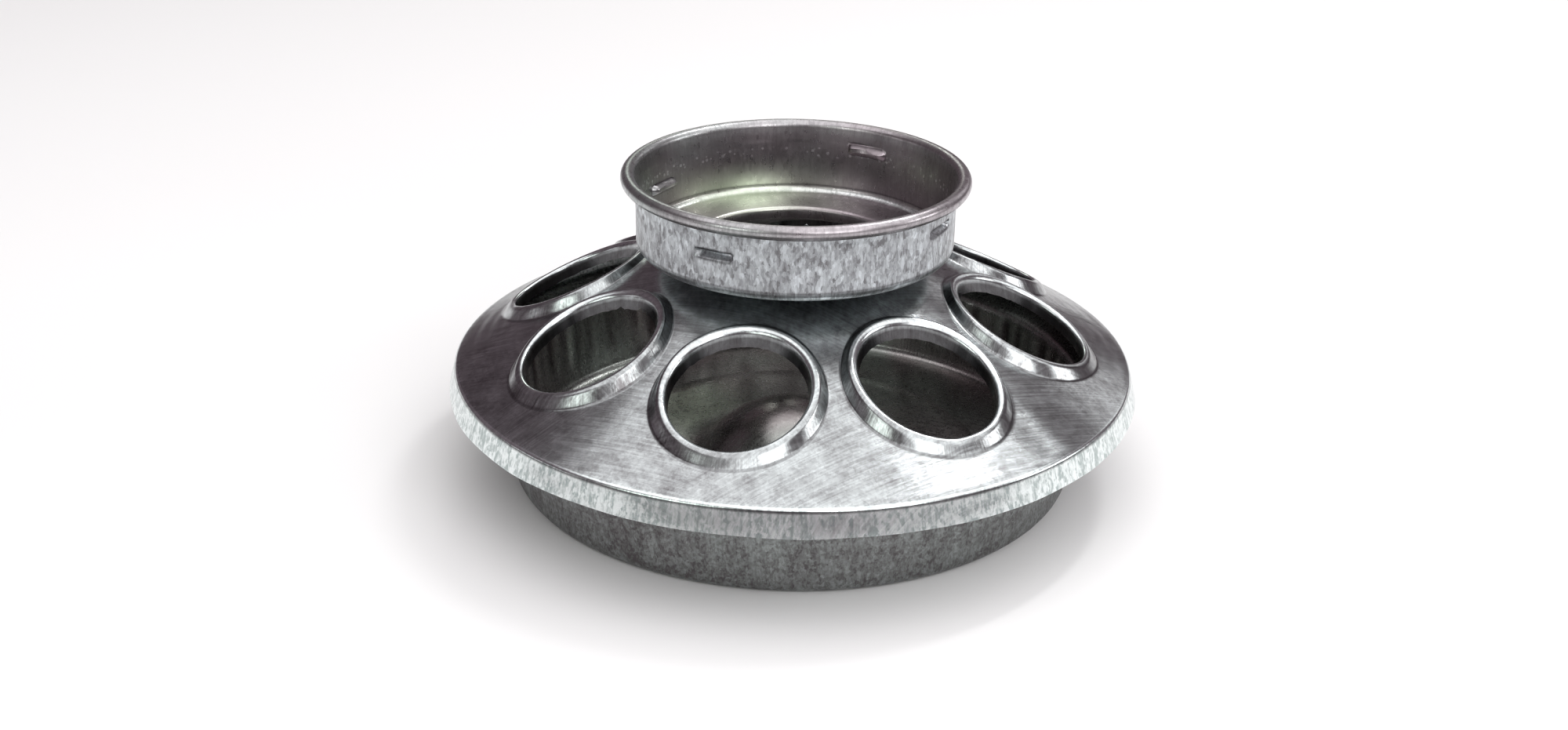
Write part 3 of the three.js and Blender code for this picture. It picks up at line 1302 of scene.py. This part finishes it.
        far = []
        for share in np.linspace(0.0, 1.0, 16) ** 1.25:
            radius = out_radius + (edge_radius - out_radius) * share
            angle = out_angle + (edge_angle - out_angle) * share
            far.append(self.on_cone(radius, angle + hole_angle))
            rows.mark()
        count = len(near) + len(far)
        masks = {name: np.repeat(values, turn.size) for name, values in rows.masks.items()}
        masks["rim_x"] = np.tile(np.cos(turn), count) + 5.0 * number
        masks["rim_y"] = np.tile(np.sin(turn), count)
        quads = grid_quads(count, turn.size, closed=True)
        return OpenSheet(np.vstack(near + far), quads, masks)

    def skirt(self, skirt_radius: float) -> OpenSheet:
        """Crease and skirt: the profile turned about the axis, its lower edge uneven.

        Args:
            skirt_radius: Outer radius of the skirt's lower edge.

        Returns:
            The sheet with the same masks as a sector.
        """
        columns = self.side_steps * HOLE_COUNT
        half = math.pi / HOLE_COUNT
        angle = -half + even_turn(columns)
        round_from = self.crease_radius - self.crease_round
        skirt_lean = math.atan2(skirt_radius - self.crease_radius,
                                self.crease_height - self.skirt_foot)
        reach = self.crease_round
        low = (self.crease_radius + reach * math.sin(skirt_lean),
               self.crease_height - reach * math.cos(skirt_lean))
        high = (round_from, float(self.cone_height(np.float64(round_from))))
        tip = (self.crease_radius, self.crease_height)
        share = np.linspace(0.0, 1.0, 8)[:, None]
        bend = ((1.0 - share) ** 2 * np.array(high)
                + 2.0 * share * (1.0 - share) * np.array(tip) + share ** 2 * np.array(low))
        foot = (skirt_radius - self.foot_inset, self.skirt_foot)
        line = np.vstack((bend, straight(low, foot, 12)[1:], np.array([foot])))
        radius, height = turned(line, angle)
        down = 1.0 - smooth_step(self.skirt_foot, self.crease_height - 0.5, height)
        wave = np.clip(Ripple(3, 17, seed=21).at(angle), -1.3, 1.3)
        radius = radius + down * self.skirt_wave * wave
        height = height + down * self.foot_wave * (Ripple(5, 38, seed=22).at(angle) + 1.0)
        first = self.on_cone(np.full(columns, round_from), angle)
        points = cylindrical(radius, np.broadcast_to(angle, radius.shape), height)
        points[:columns] = first
        row = np.arange(len(line))[:, None]
        # Painted sheen: the skirt's lifted colour stands in for the reflection of the pale
        # floor, with a little of it on the upper bend.
        bright = np.broadcast_to(np.where(row < 5, 0.15, 0.85), radius.shape)
        # A painted highlight along the upper bend of the crease.
        edge = np.broadcast_to(np.where((row > 0) & (row < 5), 1.0, 0.0), radius.shape)
        # Painted shade: a dark line along the lower bend, at the top of the skirt.
        shade = np.broadcast_to(np.where((row == 6) | (row == 7), 0.65, 0.0), radius.shape)
        quads = grid_quads(len(line), columns, closed=True)
        nothing = np.zeros(radius.size)
        return OpenSheet(points, quads, {
            "bright": bright.reshape(-1), "shade": shade.reshape(-1),
            "edge": edge.reshape(-1), "rim": nothing,
            "rim_x": nothing, "rim_y": nothing})

    def build(self, groups: Groups) -> bpy.types.Object:
        """Makes, dresses and places the cover.

        Args:
            groups: The shared node groups by name.

        Returns:
            The piece.
        """
        skirt_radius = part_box("feeder_cover")[1][0] / MM
        sheet = self.skirt(skirt_radius)
        for number in range(HOLE_COUNT):
            sheet = sheet.joined(self.sector(number))
        piece = solid_from_sheet("feeder_cover_sheet", sheet)
        piece.data.materials.append(self.finish.material(groups))
        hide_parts("feeder_cover")
        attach(piece, Body.COVER.value)
        return piece


# ---- Jar collar ----------------------------------------------------------------


@dataclass
class JarCollar:
    """The collar: clinched neck, floor, wall with four pressed lugs, rolled rim."""

    finish: Zinc
    floor: float = 53.4
    neck_radius: float = 24.1
    neck_bend: float = 0.4
    clinch_radius: float = 26.2
    wall_radius: float = 36.0
    corner: float = 2.3
    flare_from: float = 62.0
    flare_start: float = 66.4
    bead_radius: float = 1.6
    bead_ring: float = 37.7
    bead_height: float = 69.83
    gap: float = 0.3
    lug_length: float = 9.5
    lug_height: float = 2.1
    lug_reach: float = 1.4
    lug_first_angle: float = math.radians(163.7)
    lug_first_height: float = 60.8
    dent: float = 0.05
    # a painted reflection of the lit floor, low on the inner faces
    painted_light: float = 0.75
    painted_light_angle: float = math.radians(126.0)
    painted_light_reach: float = 0.50
    columns: int = 416

    def line(self, cover: FeederCover) -> np.ndarray:
        """Outer face of the collar: clinch, neck, floor, wall and rolled rim.

        Args:
            cover: The cover that the neck is clinched under.

        Returns:
            Array of (points, 2): radius and height.
        """
        under = SHEET / math.cos(cover.slope) + self.gap
        tip = float(cover.cone_height(np.float64(self.clinch_radius))) - under
        root = float(cover.cone_height(np.float64(self.neck_radius))) - under
        bend = arc((self.neck_radius + self.neck_bend, self.floor - self.neck_bend),
                   self.neck_bend, math.pi, QUARTER, 5)
        corner = arc((self.wall_radius - self.corner, self.floor + self.corner), self.corner,
                     -QUARTER, 0.0, 8)
        bead = arc((self.bead_ring, self.bead_height), self.bead_radius - SHEET,
                   math.pi, -QUARTER * 1.15, 20)
        share = np.linspace(0.0, 1.0, 21)
        flare = np.column_stack((
            self.wall_radius + (bead[0, 0] - self.wall_radius) * share ** 2,
            self.flare_from + (bead[0, 1] - self.flare_from) * share))
        return np.vstack((
            straight((self.clinch_radius, tip), (self.neck_radius, root), 4),
            straight((self.neck_radius, root), tuple(bend[0]), 3),
            bend[:-1],
            straight(tuple(bend[-1]), tuple(corner[0]), 8),
            corner[:-1],
            straight(tuple(corner[-1]), (self.wall_radius, self.flare_from), 28),
            flare[:-1],
            bead,
        ))

    def lugs(self, angle: np.ndarray, height: np.ndarray) -> tuple[np.ndarray, np.ndarray]:
        """How far the wall is pressed in at a point, and the painted shade along its edges.

        Each lug is a bar along the thread: full depth within its length and height,
        with soft ends, a steep upper side and an easier lower side.

        Args:
            angle: Angles round the axis, in radians.
            height: Heights of the points.

        Returns:
            Depth in millimetres, and the painted shade along the bar's upper and lower edges.
        """
        press = np.zeros(np.broadcast(angle, height).shape)
        shade = np.zeros_like(press)
        for number in range(LUG_COUNT):
            turn = number / LUG_COUNT
            away = angle - self.lug_first_angle - turn * 2.0 * math.pi
            away = (away + math.pi) % (2.0 * math.pi) - math.pi
            along = away * self.wall_radius
            middle = self.lug_first_height + turn * THREAD_PITCH
            up = height - middle - THREAD_PITCH * away / (2.0 * math.pi)
            ends = 1.0 - smooth_step(self.lug_length / 2 - 0.9, self.lug_length / 2 + 0.2,
                                     np.abs(along))
            upper = 1.0 - smooth_step(0.15, self.lug_height / 2, up)
            lower = smooth_step(-self.lug_height / 2 - 0.3, 0.1, up)
            press += self.lug_reach * ends * upper * lower
            # Painted shade: dark along the bar's upper edge and thinly along its lower edge.
            shade += ends * (1.0 * np.exp(-((up - 0.85) / 0.38) ** 2)
                             + 0.55 * np.exp(-((up + 1.3) / 0.24) ** 2))
        return press, np.clip(shade, 0.0, 1.0)

    def sheet(self, cover: FeederCover) -> OpenSheet:
        """The outer face as a grid: the line turned about the axis, with its lugs.

        Args:
            cover: The cover that the neck is clinched under.

        Returns:
            The sheet with the masks glow, bright and shade.
        """
        line = self.line(cover)
        angle = even_turn(self.columns)
        radius, height = turned(line, angle)
        on_wall = (line[:, :1] >= self.wall_radius - 0.3) & (line[:, 1:] < self.flare_start)
        press, edges = self.lugs(angle[None, :], height)
        dents = self.dent * Ripple(3, 14, seed=31).at(angle)[None, :]
        radius = radius + (dents - press) * on_wall
        points = cylindrical(radius, np.broadcast_to(angle, radius.shape), height)
        rolled = smooth_step(self.flare_start + 1.5, self.flare_start + 3.0, height)
        above_floor = height - self.floor
        # Painted shade: a dark line where the lower corner meets the wall.
        corner_shade = np.exp(-((above_floor - self.corner) / 0.22) ** 2)
        corner_shade = corner_shade * (radius > self.wall_radius - 1)
        # Painted highlight: a light band on the lower corner, just above the floor.
        foot = (above_floor > 0.1) * (above_floor < 1.3) * (radius > self.wall_radius - 2.0)
        # Painted reflection: a greenish patch low on the inner faces.
        low = smooth_step(self.floor - 1.0, self.floor + 0.2, height)
        low = low * (1.0 - smooth_step(self.floor + 2.0, self.floor + 10.0, height))
        painted_light = self.painted_light * low * near_angle(angle[None, :], self.painted_light_angle,
                                            self.painted_light_reach)
        quads = grid_quads(len(line), self.columns, closed=True, flipped=True)
        return OpenSheet(points, quads, {
            "painted_light": painted_light.reshape(-1),
            "bright": (0.12 * rolled + 0.45 * foot).reshape(-1),
            "shade": np.clip(edges * on_wall + 0.55 * corner_shade, 0.0, 1.0).reshape(-1)})

    def build(self, groups: Groups,
              cover: FeederCover) -> bpy.types.Object:
        """Makes, dresses and places the collar.

        Args:
            groups: The shared node groups by name.
            cover: The cover that the neck is clinched under.

        Returns:
            The piece.
        """
        piece = solid_from_sheet("jar_collar_sheet", self.sheet(cover))
        piece.data.materials.append(self.finish.material(groups))
        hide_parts("jar_collar")
        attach(piece, Body.COVER.value)
        return piece


# ---- Studio --------------------------------------------------------------------


@dataclass(frozen=True)
class SoftBox:
    """A rectangular soft light that points at the object's middle.

    Attributes:
        name: Name of the light.
        azimuth: Direction it stands in, in degrees, from the camera's side to its right.
        elevation: Height above the horizon, in degrees.
        distance: Distance from the object, in metres.
        size: Width and height, in metres.
        power: Power in watts.
        colour: Colour of the light.
    """

    name: str
    azimuth: float
    elevation: float
    distance: float
    size: tuple[float, float]
    power: float
    colour: Colour = (1.0, 1.0, 1.0)

    def build(self, facing: float, target: Vector) -> bpy.types.Object:
        """Adds the light.

        Args:
            facing: The camera's own direction round the object, in radians.
            target: The point that the light faces.

        Returns:
            The light.
        """
        data = bpy.data.lights.new(self.name, "AREA")
        data.shape = "RECTANGLE"
        data.size, data.size_y = self.size
        data.energy = self.power
        data.color = self.colour
        side = facing + math.radians(self.azimuth)
        rise = math.radians(self.elevation)
        away = Vector((math.sin(side) * math.cos(rise), -math.cos(side) * math.cos(rise),
                       math.sin(rise)))
        light = bpy.data.objects.new(self.name, data)
        light.location = target + away * self.distance
        light.rotation_euler = away.to_track_quat("Z", "Y").to_euler()
        bpy.context.scene.collection.objects.link(light)
        return light


@dataclass(frozen=True)
class Studio:
    """Floor, lights, world and camera, with lengths in metres and angles in radians."""

    camera_facing: float = 0.2123
    camera_distance: float = 0.4048
    camera_height: float = 0.2055
    camera_yaw: float = -0.0048
    camera_pitch: float = 0.4232
    camera_roll: float = 0.0184
    sensor_width: float = 36.0
    lens: float = 43.56
    floor_half: float = 6.0
    floor_grey: float = 0.86
    floor_roughness: float = 0.85
    world_colour: Colour = (0.68, 0.51, 0.585)
    world_strength: float = 0.19
    lights: tuple[SoftBox, ...] = (
        SoftBox("overhead", 45.0, 80.0, 1.05, (2.1, 2.1), 21.5),
        SoftBox("back_right", 138.0, 56.0, 1.1, (0.07, 0.26), 1.9),
        SoftBox("right_window", 140.0, 22.0, 1.2, (0.45, 0.30), 0.45),
        SoftBox("right_low", 88.0, 18.0, 1.2, (0.50, 0.25), 2.1),
        SoftBox("left_low", -80.0, 9.0, 1.2, (0.60, 0.15), 0.4),
        SoftBox("back_window", -172.0, 31.0, 1.2, (0.30, 0.25), 0.7, (0.93, 1.0, 0.90)),
        SoftBox("front_right", 28.0, 26.0, 1.2, (0.60, 0.45), 3.0),
        SoftBox("front_left", -38.0, 22.0, 1.2, (0.60, 0.40), 2.2, (0.93, 1.0, 0.94)),
    )

    def camera(self) -> None:
        """Places the camera: forward is level-turned by yaw, then tipped down by pitch."""
        data = bpy.data.cameras.new("camera")
        data.sensor_width = self.sensor_width
        data.lens = self.lens
        data.clip_start = 0.01
        turn = self.camera_facing
        forward = Vector((math.sin(self.camera_yaw) * math.cos(self.camera_pitch),
                          math.cos(self.camera_yaw) * math.cos(self.camera_pitch),
                          -math.sin(self.camera_pitch)))
        right = Vector((math.cos(self.camera_yaw), -math.sin(self.camera_yaw), 0.0))
        upward = right.cross(forward)
        roll = self.camera_roll
        side = math.cos(roll) * right + math.sin(roll) * upward
        top = math.cos(roll) * upward - math.sin(roll) * right
        axes = Matrix((side, top, -forward)).transposed().to_4x4()
        place = Matrix.Translation((0.0, -self.camera_distance, self.camera_height))
        camera = bpy.data.objects.new("camera", data)
        camera.matrix_world = Matrix.Rotation(turn, 4, "Z") @ place @ axes
        bpy.context.scene.collection.objects.link(camera)
        bpy.context.scene.camera = camera

    def floor(self) -> None:
        """A wide pale floor, which isn't part of the object."""
        mesh = bpy.data.meshes.new("floor")
        half = self.floor_half
        corners = [(-half, -half, 0.0), (half, -half, 0.0),
                   (half, half, 0.0), (-half, half, 0.0)]
        mesh.from_pydata(corners, [], [(0, 1, 2, 3)])
        material = bpy.data.materials.new("pale_floor")
        material.use_nodes = True
        shader = material.node_tree.nodes["Principled BSDF"]
        shader.inputs["Base Color"].default_value = (*[self.floor_grey] * 3, 1.0)
        shader.inputs["Roughness"].default_value = self.floor_roughness
        mesh.materials.append(material)
        floor = bpy.data.objects.new("floor", mesh)
        bpy.context.scene.collection.objects.link(floor)

    def build(self) -> None:
        """Adds everything round the object."""
        scene = bpy.context.scene
        scene.view_settings.view_transform = "Standard"
        world = bpy.data.worlds.new("studio")
        world.use_nodes = True
        background = world.node_tree.nodes["Background"]
        background.inputs["Color"].default_value = (*self.world_colour, 1.0)
        background.inputs["Strength"].default_value = self.world_strength
        scene.world = world
        low, high = CAD_BOX
        target = Vector((0.0, 0.0, (low[2] + high[2]) / 2))
        self.camera()
        self.floor()
        for light in self.lights:
            light.build(self.camera_facing, target)


def main() -> None:
    """Builds the studio and the three pieces, and reports each one."""
    logging.basicConfig(level=logging.INFO, format="%(name)s: %(message)s")
    Studio().build()
    groups = {group.name: group for group in
              (turn_streaks_group(), spangle_group(), brush_group())}
    pan_zinc = PuckeredZinc(
        name="pan_zinc", light=(0.40, 0.44, 0.43), dark=(0.125, 0.118, 0.120), roughness=0.36,
        spangle_scale=1250.0, stretch=0.85, spangle=0.65, brush=0.8, streak=0.2,
        inner_spangle=0.12, inner_tone=0.30, tone=0.28, stain=0.10, inner_stain=1.0,
        inner_roughness=0.18)
    cover_zinc = RimmedZinc(
        name="cover_zinc", light=(0.80, 0.865, 0.87), dark=(0.098, 0.090, 0.094),
        roughness=0.175, spangle_scale=1000.0, stretch=0.6, spangle=0.20, brush=0.60,
        streak=0.10, inner_spangle=0.3, inner_tone=0.0, tone=0.37, stain=0.05,
        inner_stain=0.5, blotch=0.75)
    collar_zinc = SpeckledZinc(
        name="collar_zinc", light=(0.63, 0.68, 0.705), dark=(0.19, 0.192, 0.200),
        roughness=0.27, spangle_scale=950.0, stretch=0.55, spangle=0.9, brush=0.12,
        streak=0.25, inner_spangle=0.2, inner_tone=-0.10, tone=0.43, stain=0.1,
        inner_stain=1.0, inner_roughness=0.24)
    cover = FeederCover(cover_zinc)
    pieces = [BasePan(pan_zinc).build(groups), cover.build(groups),
              JarCollar(collar_zinc).build(groups, cover)]
    for piece in pieces:
        LOG.info("%s: %d faces", piece.name, len(piece.data.polygons))


if __name__ == "__main__":
    main()
